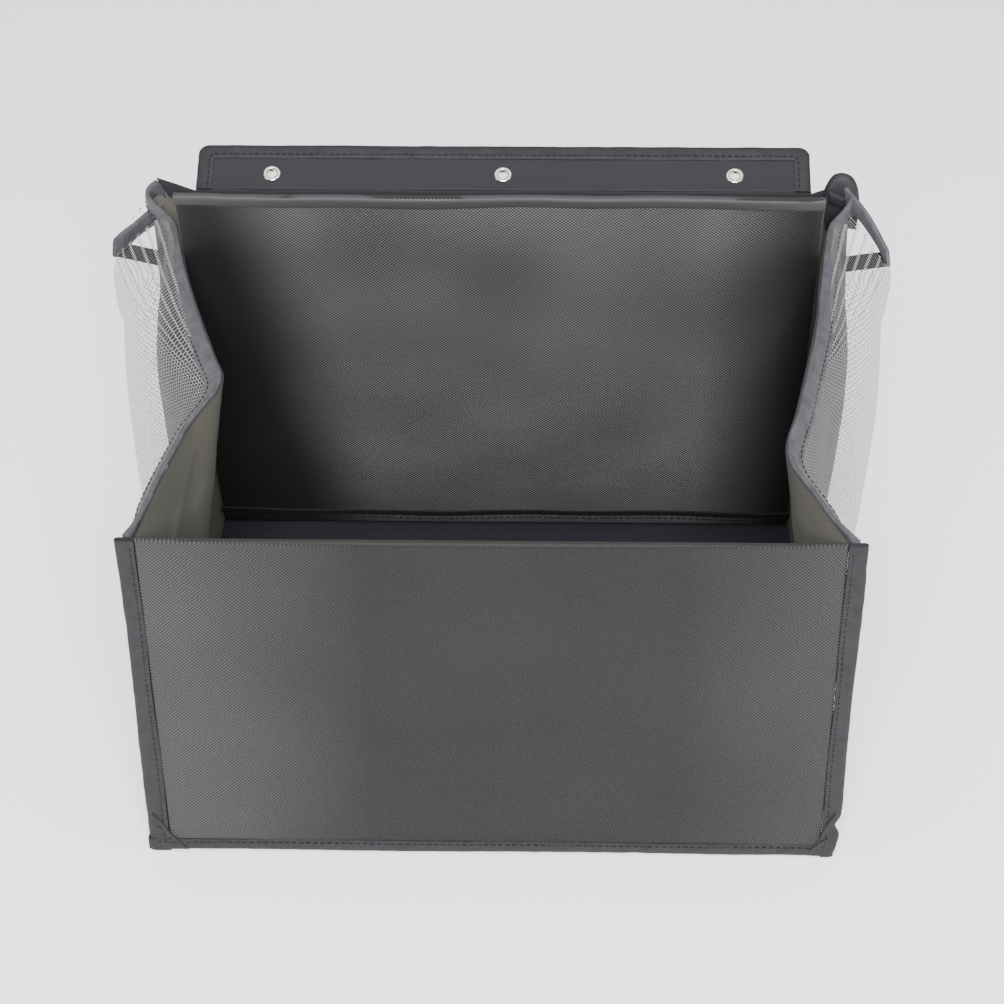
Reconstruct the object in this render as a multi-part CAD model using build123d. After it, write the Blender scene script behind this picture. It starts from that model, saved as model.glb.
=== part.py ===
import os
from math import cos, radians, sin, tan

from build123d import *

# Collapsible storage crate: an open-topped box of stiffened cloth panels with soft sides that fold in
# on a middle crease, a net pocket outside each side, a loose-topped floor insert that stands up inside
# the back, and a hanging flap with three eyelets along the top of the back.
# Millimetres. +X right, +Y to the back, +Z up. The box is drawn from the inner face of the rear panel
# at Y 0 and is moved at the end so that the origin is at the bottom centre of its bounding box.

# Overall sizes
WIDTH = 400.0  # between the two side seams
DEPTH = 316.0  # inner face of the rear panel to inner face of the front panel
FRONT_H = 252.0
REAR_H = 271.0

# Panels
CLOTH = 0.8  # one layer of the coated cloth
BOARD = 2.4  # stiffener board
PANEL = BOARD + 2 * CLOTH
SIDE_CLOTH = 1.0
NET = 1.2

# Binding tape
TAPE = 1.0  # one layer of the tape
TAPE_W = 11.0  # how far it reaches over an edge
TAB = 1.2  # the sewn edge that the tape wraps
SEAM = 10.0  # how far a sewn edge stands out
GAP = 0.2  # clearance between pieces that move apart

# Floor, in two halves on a middle crease
FLOOR_SIDE_GAP = 4.0
REAR_PIVOT = 12.0  # from the rear panel to the rear hinge line of the floor
FRONT_PIVOT = 5.0  # from the front panel to the front hinge line of the floor
BEVEL = 1.2  # how far the top of the floor's edge is cut back at those lines
STRIP_GAP = 1.6  # from those lines to the sewn strip under the edge
FOLD = 78.0  # degrees that each half of the floor turns when the crate is shut

# Floor insert, standing up inside the back
INSERT_L = 331.0
INSERT_W = WIDTH - 4.0
INSERT_LEAN = 13.4
INSERT_Y = 4.0  # its middle, in front of the rear panel
INSERT_Z = 3.4

# Hanging flap
FLAP_L = 35.5
FLAP_W = WIDTH - 2.0
FLAP_LEAN = 66.0
FLAP_CLOTH = 0.6
FLAP_BOARD = 0.8
FLAP_T = FLAP_BOARD + 2 * FLAP_CLOTH
FLAP_R = 7.0
FLAP_Y = PANEL + FLAP_T / 2 + TAPE + GAP  # its hinge line, behind the rear panel
FLAP_Z = REAR_H + CLOTH / 2
FLAP_FOOT = 1.2  # the flap's lower edge above its hinge line
EYELET_PITCH = 150.0
EYELET_UP = 13.0  # from the hinge line
EYELET_HOLE = 6.5
EYELET_BARREL = EYELET_HOLE + 1.0
EYELET_OD = 12.0
EYELET_RIM = 0.9
WASHER_T = 0.6

# Soft sides: how far in (+) or out (-) the cloth stands at each place along the depth
CREASE = DEPTH / 2
SIDE_AT_REAR = [0.0, 8.0, 45.0, 85.0, 120.0, 158.0]
SIDE_AT_FRONT = {"left": [158.0, 180.0, 220.0, 270.0, 316.0], "right": [158.0, 205.0, 245.0, 280.0, 316.0]}
LOW, MID = 90.0, 215.0
SIDE_REAR_IN = {
    "left": [[0] * 6, [0, -8, -18, -14, -4, 8], [0, -14, -22, -15, 2, 21], [0, -22, -10, 4, 16, 29]],
    "right": [[0] * 6, [0, -8, -18, -15, -6, 1], [0, -14, -22, -16, -5, 6], [0, -18, -11, -3, 4, 12]],
}
SIDE_FRONT_IN = {
    "left": [[0] * 5, [8, 11, 8, 3, 0], [21, 29, 18, 7, 0], [29, 36, 22, 9, 0]],
    "right": [[0] * 5, [1, 6, 9, 5, 0], [6, 17, 24, 13, 0], [12, 22, 30, 16, 0]],
}

# Net pockets, outside the soft sides
NET_AT_REAR = [0.0, 20.0, 50.0, 90.0, 125.0, 158.0]
NET_AT_MOUTH = [45.0, 65.0, 85.0, 105.0, 130.0, 158.0]
NET_AT_TOP = [12.0, 30.0, 50.0, 85.0, 120.0, 158.0]
NET_FOOT_IN = [[-9, -6, -4, -3.5, -3.5, -3.5], [-10, -30, -38, -36, -30, -24], [-10, -36, -44, -34, -20, -2]]
NET_REAR_IN = {
    "left": NET_FOOT_IN + [[-44, -42, -34, -22, -6, 14], [-24, -18, -12, 1, 13, 26]],
    "right": NET_FOOT_IN + [[-44, -42, -34, -24, -12, 4], [-21, -17, -13, -6, 1, 9]],
}
NET_FRONT_IN = {
    "left": [
        [-3.5, -3.5, -3.5, -5, -9],
        [-24, -20, -16, -12, -9],
        [-2, 2, -2, -6, -9],
        [14, 24, 12, 0, -6],
        [26, 33, 19, 6, -4],
    ],
    "right": [
        [-3.5, -3.5, -3.5, -5, -9],
        [-24, -20, -16, -12, -9],
        [-2, 2, 4, -2, -9],
        [4, 12, 18, 6, -6],
        [9, 19, 27, 13, -4],
    ],
}
MOUTH_DROP = 14.0  # the pocket's mouth corner below the top edge

half_w = WIDTH / 2


def stretch(places):
    """Places along the depth, scaled from the 316 mm they are listed for."""
    return [p * DEPTH / 316.0 for p in places]


def block(x0, x1, y0, y1, z0, z1):
    return Pos((x0 + x1) / 2, (y0 + y1) / 2, (z0 + z1) / 2) * Box(x1 - x0, y1 - y0, z1 - z0)


def top_edge(depth, drop=0.0):
    """Height of the side's top edge at a depth from the rear panel."""
    return REAR_H + (FRONT_H - REAR_H) * depth / DEPTH - drop


def ribbon(side, rows, thick):
    """A thin wall through rows of (how far in, depth, height), on one side of the crate."""
    wires = []
    for row in rows:
        face = [(side * (half_w - u), -v, z) for u, v, z in row]
        back = [(side * (half_w - u - thick), -v, z) for u, v, z in row]
        wires.append(Wire.make_polygon([Vector(p) for p in face + back[::-1]], close=True))
    return Solid.make_loft(wires, ruled=True)


def rows_of(places, ins, heights):
    return [
        [(u, v, h(v)) for u, v in zip(line, where)]
        for line, where, h in zip(ins, places, heights)
    ]


def flat(z):
    return lambda v: z


def below_top(drop):
    return lambda v: top_edge(v, drop)


def bar(p, q, across, wide, thick):
    """A flat strip from p to q, wide along 'across', thick square to both."""
    p, q, across = Vector(p), Vector(q), Vector(across).normalized()
    normal = (q - p).cross(across).normalized()
    side = across * (wide / 2)
    face = Face(Wire.make_polygon([p - side, q - side, q + side, p + side], close=True))
    return Solid.extrude(face, normal * thick)


# ---- rear panel: a board in a cloth cover with a sewn edge on both sides and along the bottom
rear_board = block(-half_w + 3, half_w - 3, CLOTH, CLOTH + BOARD, SEAM + 3, REAR_H - 3)
rear_cover = block(-half_w, half_w, 0, PANEL, SEAM, REAR_H)
rear_cover += block(
    -half_w - SEAM, half_w + SEAM, PANEL / 2 - TAB / 2, PANEL / 2 + TAB / 2, TAPE, REAR_H
)
rear_cover += block(-FLAP_W / 2, FLAP_W / 2, PANEL - CLOTH, FLAP_Y - GAP, REAR_H, REAR_H + CLOTH)
rear_cover += block(-FLAP_W / 2, FLAP_W / 2, PANEL - CLOTH, PANEL, REAR_H - CLOTH, REAR_H + CLOTH)
rear_cover -= rear_board


def edge_tape(x0, x1, y, z0, z1, open_x=0, open_z=0):
    """Tape folded over a sewn edge that lies in a plane of constant Y."""
    t = TAB / 2 + TAPE
    body = block(x0, x1, y - t, y + t, z0, z1)
    slit = block(
        x0 + (TAPE if open_x > 0 else 0) - (5 if open_x < 0 else 0) - (5 if open_z else 0),
        x1 - (TAPE if open_x < 0 else 0) + (5 if open_x > 0 else 0) + (5 if open_z else 0),
        y - TAB / 2,
        y + TAB / 2,
        z0 + (TAPE if open_z else -5),
        z1 + 5,
    )
    return body - slit


mid = PANEL / 2
rear_tape_left = edge_tape(-half_w - TAPE_W, -half_w, mid, 0, REAR_H, open_x=1)
rear_tape_right = edge_tape(half_w, half_w + TAPE_W, mid, 0, REAR_H, open_x=-1)
rear_tape_bottom = edge_tape(-half_w, half_w, mid, 0, SEAM, open_z=1)
rear_tape_bottom += block(-half_w + 2, half_w - 2, -REAR_PIVOT + STRIP_GAP, mid - TAB / 2 - TAPE / 2, 0, CLOTH)

# ---- front panel: the same build, with its top edge folded
fy = -DEPTH
front_board = block(-half_w + 3, half_w - 3, fy - CLOTH - BOARD, fy - CLOTH, SEAM + 3, FRONT_H - CLOTH)
front_cover = block(-half_w, half_w, fy - PANEL, fy, SEAM, FRONT_H)
front_cover += block(
    -half_w - SEAM, half_w + SEAM, fy - mid - TAB / 2, fy - mid + TAB / 2, TAPE, FRONT_H
)
front_cover -= front_board
front_tape_left = edge_tape(-half_w - TAPE_W, -half_w, fy - mid, 0, FRONT_H, open_x=1)
front_tape_right = edge_tape(half_w, half_w + TAPE_W, fy - mid, 0, FRONT_H, open_x=-1)
front_tape_bottom = edge_tape(-half_w, half_w, fy - mid, 0, SEAM, open_z=1)
hem = fy - mid + TAB / 2 + TAPE / 2
front_tape_bottom += block(-half_w + 2, half_w - 2, hem, fy + FRONT_PIVOT - STRIP_GAP, 0, CLOTH)

# ---- floor: two boards in cloth covers, hinged at the back, at the middle crease and at the front
pivot_rear = -REAR_PIVOT
pivot_front = -DEPTH + FRONT_PIVOT
pivot_mid = (pivot_rear + pivot_front) / 2
floor_x = half_w - FLOOR_SIDE_GAP


def floor_half(y0, y1, hinge):
    """One half of the floor, its end at the outer hinge line cut back so that it clears the sewn strip."""
    cover = block(-floor_x, floor_x, y0, y1, 0, PANEL)
    toward = 1 if y1 == hinge else -1
    cut = [(hinge, 0), (hinge + toward * 5, 0), (hinge + toward * 5, 6), (hinge - toward * BEVEL * 1.5, 6)]
    wedge = Face(Wire.make_polygon([Vector(-floor_x - 5, y, z) for y, z in cut], close=True))
    cover -= Solid.extrude(wedge, Vector(2 * floor_x + 10, 0, 0))
    board = block(-floor_x + 2, floor_x - 2, y0 + 2, y1 - 2, CLOTH, CLOTH + BOARD)
    return cover - board, board


floor_cover_rear, floor_board_rear = floor_half(pivot_mid + GAP, pivot_rear - GAP, pivot_rear - GAP)
floor_cover_front, floor_board_front = floor_half(pivot_front + GAP, pivot_mid - GAP, pivot_front + GAP)

# ---- floor insert, drawn upright and leaned forward about the line it is sewn on
lean = Pos(0, -INSERT_Y, INSERT_Z) * Rot(INSERT_LEAN, 0, 0)
insert_board = block(-INSERT_W / 2 + 2, INSERT_W / 2 - 2, -BOARD / 2, BOARD / 2, 2, INSERT_L - CLOTH)
insert_cover = block(-INSERT_W / 2, INSERT_W / 2, -PANEL / 2, PANEL / 2, 0, INSERT_L) - insert_board
insert_board = lean * insert_board
insert_cover = lean * insert_cover

# ---- hanging flap, drawn upright with its hinge line on the X axis
flap_place = Pos(0, FLAP_Y, FLAP_Z) * Rot(-FLAP_LEAN, 0, 0)


def flap_shape(inset, thick, foot):
    """The flap's outline with two round top corners, centred on its own plane."""
    w, h = FLAP_W / 2 - inset, FLAP_L - inset
    plate = block(-w, w, -thick / 2, thick / 2, foot, h)
    edges = plate.edges().filter_by(Axis.Y).sort_by(Axis.Z)[-2:]
    return fillet(edges, max(FLAP_R - inset, 1.0))


eyelet_x = [-EYELET_PITCH, 0.0, EYELET_PITCH]


def across_flap(diameter, length, x):
    return Pos(x, 0, EYELET_UP) * Rot(90, 0, 0) * Cylinder(diameter / 2, length)


flap_board = flap_shape(2.5, FLAP_BOARD, 3.0)
flap_cloth = flap_shape(TAPE, FLAP_T, FLAP_FOOT)
for ex in eyelet_x:
    flap_board -= across_flap(EYELET_BARREL, 20, ex)
    flap_cloth -= across_flap(EYELET_BARREL, 20, ex)
flap_cloth -= flap_shape(2.5, FLAP_BOARD, 3.0)
for ex in eyelet_x:
    flap_board -= across_flap(EYELET_BARREL, 20, ex)
flap_tape = flap_shape(0, FLAP_T + 2 * TAPE, FLAP_FOOT)
inner_w = FLAP_W / 2 - TAPE_W
flap_tape -= block(-inner_w, inner_w, -10, 10, -5, FLAP_L - TAPE_W)
flap_tape -= flap_shape(TAPE, FLAP_T, -5)


def eyelet(x):
    """A rolled eyelet: a domed rim in front and a barrel through the flap."""
    rim = Pos(x, -FLAP_T / 2 - EYELET_RIM / 2, EYELET_UP) * Rot(90, 0, 0)
    rim = rim * Cylinder(EYELET_OD / 2, EYELET_RIM)
    front = rim.edges().filter_by(GeomType.CIRCLE).sort_by(Axis.Y)[0]
    rim = fillet(front, EYELET_RIM * 0.7)
    length = FLAP_T + WASHER_T + 0.5
    barrel = Pos(x, -FLAP_T / 2 + length / 2, EYELET_UP) * Rot(90, 0, 0)
    barrel = barrel * Cylinder(EYELET_BARREL / 2, length)
    return rim + barrel - across_flap(EYELET_HOLE, 20, x)


def washer(x):
    ring = Pos(x, FLAP_T / 2 + WASHER_T / 2, EYELET_UP) * Rot(90, 0, 0)
    return ring * Cylinder(EYELET_OD / 2, WASHER_T) - across_flap(EYELET_BARREL, 20, x)


flap_parts = {"hanging_flap": flap_cloth, "flap_board": flap_board, "flap_tape": flap_tape}
for name, ex in zip(["left", "middle", "right"], eyelet_x):
    flap_parts["eyelet_" + name] = eyelet(ex)
    flap_parts["eyelet_washer_" + name] = washer(ex)
flap_parts = {name: flap_place * shape for name, shape in flap_parts.items()}

# ---- the soft sides, their top tapes, the net pockets and the tapes round the pocket mouths
side_parts = {}
side_heights = [flat(0.6), flat(LOW), flat(MID), below_top(0.0)]
net_heights = [flat(0.8), flat(LOW), flat(MID), below_top(MOUTH_DROP), below_top(0.5)]
for name, side in (("left", -1), ("right", 1)):
    for end, places, ins in (
        ("rear", stretch(SIDE_AT_REAR), SIDE_REAR_IN[name]),
        ("front", stretch(SIDE_AT_FRONT[name]), SIDE_FRONT_IN[name]),
    ):
        where = list(places)
        where[0] += GAP
        where[-1] -= GAP
        wall = ribbon(side, rows_of([where] * 4, ins, side_heights), SIDE_CLOTH)
        if end == "rear":
            at = [stretch(p) for p in (NET_AT_REAR, NET_AT_REAR, NET_AT_REAR, NET_AT_MOUTH, NET_AT_TOP)]
            net_in = NET_REAR_IN[name]
        else:
            at = [stretch(SIDE_AT_FRONT[name])] * 5
            net_in = NET_FRONT_IN[name]
        at = [list(p) for p in at]
        for p in at:
            p[0] += GAP if p[0] < 1 or end == "front" else 0
            p[-1] -= GAP
        net = ribbon(side, rows_of(at, net_in, net_heights), NET)
        # the tape over the top edge, with the cloth and the net let into it
        strip_in = [[u - 3.4 for u in ins[3]]] * 2
        tops = [below_top(TAPE_W - TAPE), below_top(-TAPE)]
        strip = ribbon(side, rows_of([where] * 2, strip_in, tops), SIDE_CLOTH + 4.8)
        tape = strip - wall - net
        tape = max(tape.solids(), key=lambda s: s.volume)
        side_parts[f"side_{name}_{end}"] = wall
        side_parts[f"side_tape_{name}_{end}"] = tape
        side_parts[f"net_{name}_{end}"] = net
    k = stretch([45.0])[0]
    corner = (side * (half_w + 46.0), -k, top_edge(k, MOUTH_DROP))
    head = (side * (half_w + 25.5), -14.0, top_edge(14.0, 0.5))
    foot_q = (side * (half_w + 12.0), -1.5, MID)
    out = (side * 1.0, 0.0, 0.0)
    upper = bar(head, corner, (0, -0.35, -0.94), TAPE_W, 1.6)
    lower = bar(corner, foot_q, (0, -0.75, 0.66), TAPE_W, 1.6)
    mouth = upper + lower - side_parts[f"net_{name}_rear"]
    mouth -= side_parts[f"side_tape_{name}_rear"]
    mouth -= side_parts[f"side_{name}_rear"]
    side_parts[f"mouth_tape_{name}"] = max(mouth.solids(), key=lambda s: s.volume)

parts = {
    "rear_cover": rear_cover,
    "rear_board": rear_board,
    "rear_tape_left": rear_tape_left,
    "rear_tape_right": rear_tape_right,
    "rear_tape_bottom": rear_tape_bottom,
    "front_cover": front_cover,
    "front_board": front_board,
    "front_tape_left": front_tape_left,
    "front_tape_right": front_tape_right,
    "front_tape_bottom": front_tape_bottom,
    "floor_cover_rear": floor_cover_rear,
    "floor_board_rear": floor_board_rear,
    "floor_cover_front": floor_cover_front,
    "floor_board_front": floor_board_front,
    "insert_cover": insert_cover,
    "insert_board": insert_board,
}
parts.update(flap_parts)
parts.update(side_parts)

boxes = [shape.bounding_box() for shape in parts.values()]
low_y = min(b.min.Y for b in boxes)
high_y = max(b.max.Y for b in boxes)
shift = -(low_y + high_y) / 2
move = Pos(0, shift, 0)

os.makedirs("parts", exist_ok=True)
for name, shape in parts.items():
    export_step(move * shape, f"parts/{name}.step")

print("moved along Y by", round(shift, 3))
print("floor pivots Y", [round(p + shift, 3) for p in (pivot_rear, pivot_mid, pivot_front)])
print("side pivots Y", [round(p + shift, 3) for p in (0, -CREASE, -DEPTH)])
print("insert pivot", round(-INSERT_Y + shift, 3), INSERT_Z)
print("flap pivot", round(FLAP_Y + shift, 3), FLAP_Z)
travel = (pivot_rear - pivot_front) * (1 - cos(radians(FOLD)))
print("front travel", round(travel, 3), "side cos", round(1 - travel / DEPTH, 5))
for name, ex in zip(["left", "middle", "right"], eyelet_x):
    c = flap_place * Pos(ex, 0, EYELET_UP)
    print("eyelet", name, round(c.position.X, 3), round(c.position.Y + shift, 3), round(c.position.Z, 3))
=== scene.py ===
# %% [markdown]
# # A collapsible cloth storage crate
# An open box of boards sewn into woven cloth, with soft sides that fold in on a middle crease, a net
# pocket outside each side, a stiff insert standing up inside the back and a flap with three eyelets.
# The imported solids give the frame: each piece made here takes the place of the soft solid it covers, and
# most ride on the same moving body; the side cloths, nets, side tapes, their stitches and the flap's hinge
# ride on none.

# %% Load the frame
from math import cos, pi, radians, sin

import bpy
import numpy as np
from mathutils import Matrix, Vector, noise


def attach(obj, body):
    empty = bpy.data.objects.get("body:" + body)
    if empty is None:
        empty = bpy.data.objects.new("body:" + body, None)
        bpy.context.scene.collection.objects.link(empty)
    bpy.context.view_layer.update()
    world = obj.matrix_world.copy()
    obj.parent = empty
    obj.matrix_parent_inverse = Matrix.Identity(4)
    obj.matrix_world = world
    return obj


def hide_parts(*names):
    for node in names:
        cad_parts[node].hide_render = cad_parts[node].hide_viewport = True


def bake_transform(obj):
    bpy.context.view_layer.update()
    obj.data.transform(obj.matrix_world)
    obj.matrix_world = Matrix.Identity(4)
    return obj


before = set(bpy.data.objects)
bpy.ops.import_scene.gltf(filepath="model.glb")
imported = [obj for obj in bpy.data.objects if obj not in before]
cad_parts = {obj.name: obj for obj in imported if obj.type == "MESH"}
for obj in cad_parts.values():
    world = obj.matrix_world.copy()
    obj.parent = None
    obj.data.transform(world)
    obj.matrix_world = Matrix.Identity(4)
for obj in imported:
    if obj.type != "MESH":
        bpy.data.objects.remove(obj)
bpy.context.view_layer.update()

# %% [markdown]
# ## The view
# The crate is seen from in front and well above, with a long lens, so that the insert shows over the
# front panel. The camera's place, turn and lens are fixed numbers, worked out from the box's corners.

# %% Camera
view_data = bpy.data.cameras.new("view")
view_data.lens, view_data.sensor_width = 97.43, 36.0
view = bpy.data.objects.new("view", view_data)
view.matrix_world = Matrix(
    (
        (0.99973, -0.007768, 0.021879, 0.039537),
        (0.021809, 0.637432, -0.770198, -1.333116),
        (-0.007964, 0.770467, 0.63743, 1.236634),
        (0, 0, 0, 1),
    )
)
bpy.context.scene.collection.objects.link(view)
bpy.context.scene.camera = view
print("lens", view_data.lens)

# %% [markdown]
# ## Finishes
# A colour is written as a hex value, and one function turns it to linear light. One
# small function adds a node, sets its properties and joins its inputs.

# %% Colour and node helpers
def linear(code):
    """A hex sRGB colour as linear RGBA."""
    parts = [int(code[i : i + 2], 16) / 255 for i in (1, 3, 5)]
    return [c / 12.92 if c <= 0.04045 else ((c + 0.055) / 1.055) ** 2.4 for c in parts] + [1.0]


def add(finish, kind, inputs=(), **settings):
    """Adds a node, with its settings, and its inputs as values or as links from other sockets."""
    node = finish.node_tree.nodes.new("ShaderNode" + kind)
    for key, value in settings.items():
        setattr(node, key, value)
    for key, value in dict(inputs).items():
        if isinstance(value, bpy.types.NodeSocket):
            finish.node_tree.links.new(value, node.inputs[key])
        else:
            node.inputs[key].default_value = value
    return node


def blank(name, **shader):
    """A new material, its shader, with the shader's constant values set on its own sockets."""
    finish = bpy.data.materials.new(name)
    finish.use_nodes = True
    surface = finish.node_tree.nodes["Principled BSDF"]
    for key, value in shader.items():
        surface.inputs[key.replace("_", " ")].default_value = value
    return finish, surface


def join(finish, source, target):
    finish.node_tree.links.new(source, target)


# %% [markdown]
# ### Woven cloth
# The panels are covered in coarse polyester Oxford cloth: thick yarns in pairs, over and under, so the
# eye sees small raised squares in diagonal rows, light on top and dark in the pits. Warp and weft are
# two sine waves in the cloth's own UV map, which is in metres, and their product is the raised squares.
# A slow noise bends the yarns a little, and a second one makes the tone uneven, as on rubbed cloth.

# %% Woven cloth
def woven(name, raised, sunk, pitch, roughness, relief, uneven=0.1, wander=0.0003, painted_highlight=None):
    """Plain-woven cloth with a yarn pitch and a relief in metres. Where the painted-light attribute is high,
    the raised squares are painted a lighter colour: a painted sheen and painted light."""
    finish, surface = blank(
        name, Roughness=roughness, Specular_IOR_Level=0.22, Sheen_Weight=0.02, Sheen_Roughness=0.5
    )
    spot = add(finish, "UVMap", uv_map="cloth").outputs["UV"]
    bend = add(finish, "TexNoise", {"Vector": spot, "Scale": 90.0, "Detail": 2.0}).outputs["Color"]
    shift = add(finish, "VectorMath", {0: bend, 1: [wander * 2] * 3, 2: spot}, operation="MULTIPLY_ADD")
    axes = add(finish, "SeparateXYZ", {"Vector": shift.outputs["Vector"]}).outputs
    waves = []
    for axis in "XY":
        turn = add(finish, "Math", {0: axes[axis], 1: 2 * pi / pitch}, operation="MULTIPLY")
        waves.append(add(finish, "Math", {0: turn.outputs[0]}, operation="SINE").outputs[0])
    squares = add(finish, "Math", {0: waves[0], 1: waves[1]}, operation="MULTIPLY").outputs[0]
    span = {"From Min": -0.9, "From Max": 0.9}
    height = add(finish, "MapRange", {"Value": squares, **span}).outputs["Result"]
    high = linear(raised)
    # Painted light: the attribute mixes the raised squares towards the lighter painted highlight colour.
    if painted_highlight:
        rub = add(finish, "Attribute", attribute_name="rub").outputs["Fac"]
        lit_high = {"Factor": rub, "A": high, "B": linear(painted_highlight)}
        high = add(finish, "Mix", lit_high, data_type="RGBA").outputs[2]
    tone = add(finish, "Mix", {"Factor": height, "A": linear(sunk), "B": high}, data_type="RGBA")
    patch = add(finish, "TexNoise", {"Vector": spot, "Scale": 16.0, "Detail": 3.0}).outputs["Fac"]
    yarn = add(finish, "TexNoise", {"Vector": spot, "Scale": 900.0, "Detail": 1.0}).outputs["Fac"]
    both = add(finish, "Math", {0: patch, 1: yarn}, operation="ADD").outputs[0]
    spread = {"From Min": 0.7, "From Max": 1.3, "To Min": 1 - uneven, "To Max": 1 + uneven}
    worn = add(finish, "MapRange", {"Value": both, **spread}).outputs["Result"]
    final = add(finish, "HueSaturation", {"Value": worn, "Color": tone.outputs["Result"]})
    join(finish, final.outputs["Color"], surface.inputs["Base Color"])
    bump = add(finish, "Bump", {"Height": height, "Strength": 0.6, "Distance": relief})
    join(finish, bump.outputs["Normal"], surface.inputs["Normal"])
    return finish


# About 1.7 mm between raised squares, corner to corner: the coarse grain of every stiff panel.
# Its second, lighter colour for the raised squares is a painted highlight, for painted sheen and painted
# light.
oxford = woven(
    "coarse polyester oxford cloth", "#232325", "#111112", 0.0024, 0.58, 0.0005, 0.08, painted_highlight="#7b7b7d"
)
# The floor's lining is the same cloth in the crate's own shade, nearly black.
lining = woven("dark polyester floor lining", "#34353b", "#222328", 0.0024, 0.6, 0.0002)
# The soft sides are a thinner cloth: its outside shows a fine grain under the net.
side_outside = woven("thin polyester side cloth", "#3c3c3f", "#1f1f21", 0.0014, 0.6, 0.0002)
# Its inside carries the pale olive-grey waterproofing coat, which fills the weave and is a little shiny.
side_inside = woven("coated back of the side cloth", "#716f67", "#5e5c55", 0.0014, 0.5, 0.00008, 0.14)
# The flap's cloth is pressed flat over its board, and nearly smooth.
flap_cloth = woven("pressed polyester flap cloth", "#2b2c30", "#232428", 0.0014, 0.55, 0.00008, 0.05)
# The insert's top hem shows the cloth's smooth coated back, folded over, a shade lighter than the weave.
hem_cloth = woven("smooth folded hem", "#444446", "#363638", 0.0014, 0.5, 0.00006, 0.06)
print("cloths:", [m.name for m in bpy.data.materials if m.name.split()[-1] in ("cloth", "lining", "hem")])

# %% [markdown]
# ### Tape, thread, net, board and nickel
# Binding tape is grosgrain: fine ribs across its width. Real ribs are about 0.8 mm apart; they are drawn
# 1.3 mm apart so that they show. The net's yarn is pale grey, the sewing thread nearly black, and the
# eyelets are plated steel, which takes its look from what it reflects.

# %% Tape and small finishes
def ribbed(name, raised, sunk, pitch, roughness):
    """Grosgrain tape, ribbed across its width, which is the U of its map."""
    finish, surface = blank(name, Roughness=roughness, Specular_IOR_Level=0.25, Sheen_Weight=0.02)
    spot = add(finish, "UVMap", uv_map="cloth").outputs["UV"]
    axes = add(finish, "SeparateXYZ", {"Vector": spot}).outputs
    turn = add(finish, "Math", {0: axes["Y"], 1: 2 * pi / pitch}, operation="MULTIPLY").outputs[0]
    rib = add(finish, "Math", {0: turn}, operation="SINE").outputs[0]
    grain = add(finish, "TexNoise", {"Vector": spot, "Scale": 120.0, "Detail": 4.0}).outputs["Fac"]
    mixed = add(finish, "Math", {0: rib, 1: 0.28, 2: grain}, operation="MULTIPLY_ADD").outputs[0]
    level = add(finish, "MapRange", {"Value": mixed, "From Min": 0.15, "From Max": 0.85}).outputs["Result"]
    tone = add(finish, "Mix", {"Factor": level, "A": linear(sunk), "B": linear(raised)}, data_type="RGBA")
    join(finish, tone.outputs["Result"], surface.inputs["Base Color"])
    bump = add(finish, "Bump", {"Height": mixed, "Strength": 0.5, "Distance": 0.0002})
    join(finish, bump.outputs["Normal"], surface.inputs["Normal"])
    return finish


# The side tapes are painted palest, a painted highlight for the light they catch; the stiff panels' tapes are
# painted darker, as painted shade.
binding = ribbed("grosgrain binding tape", "#5c5c61", "#38383c", 0.0013, 0.55)
panel_binding = ribbed("grosgrain tape of the stiff panels", "#2c2c2f", "#19191c", 0.0013, 0.6)
dark_binding = ribbed("grosgrain tape in the flap's shade", "#303034", "#202024", 0.0013, 0.55)
thread = ribbed("spun polyester thread", "#1c1c1e", "#0f0f11", 0.0006, 0.6)
net_yarn = ribbed("knitted polyester net yarn", "#9a9a98", "#7e7e7c", 0.0012, 0.65)
# The band that closes each pocket's mouth behind its net: a grey tape painted black, as painted shade for the
# shadow behind the net.
shadow_tape = ribbed("black grosgrain tape", "#0e0e0f", "#060607", 0.0013, 0.7)


def speckled(name, light, dark, size, **shader):
    """A plain solid with a slight grain, its size in metres."""
    finish, surface = blank(name, **shader)
    spot = add(finish, "TexCoord").outputs["Object"]
    grain = add(finish, "TexNoise", {"Vector": spot, "Scale": 1 / size, "Detail": 3.0}).outputs["Fac"]
    tone = add(finish, "Mix", {"Factor": grain, "A": linear(dark), "B": linear(light)}, data_type="RGBA")
    join(finish, tone.outputs["Result"], surface.inputs["Base Color"])
    bump = add(finish, "Bump", {"Height": grain, "Strength": 0.3, "Distance": size * 0.02})
    join(finish, bump.outputs["Normal"], surface.inputs["Normal"])
    return finish


# Pressed fibreboard inside the panels: matt and nearly black.
fibreboard = speckled("black fibreboard stiffener", "#2b2a29", "#1b1a19", 0.002, Roughness=0.85)
# Bright nickel on pressed steel: smooth, slightly warm.
nickel = speckled("bright nickel plate", "#dcd9d2", "#cbc8c0", 0.004, Metallic=1.0, Roughness=0.2)
print("materials", len(bpy.data.materials))

# %% [markdown]
# ## Shapes of the cloth
# The sides are soft, so they are described by a table, as a pattern cutter would note them: how far in
# the cloth stands at each place along the depth, at four heights. A smooth curve goes through the
# numbers. Depth is measured from the inner face of the back, and all of this is in millimetres.

# %% Tables and the curve through them
BACK_Y, HALF, DEPTH, FRONT_TOP, REAR_TOP = 140.278, 200.0, 316.0, 252.0, 271.0
HANDS = (("left", -1), ("right", 1))
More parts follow.
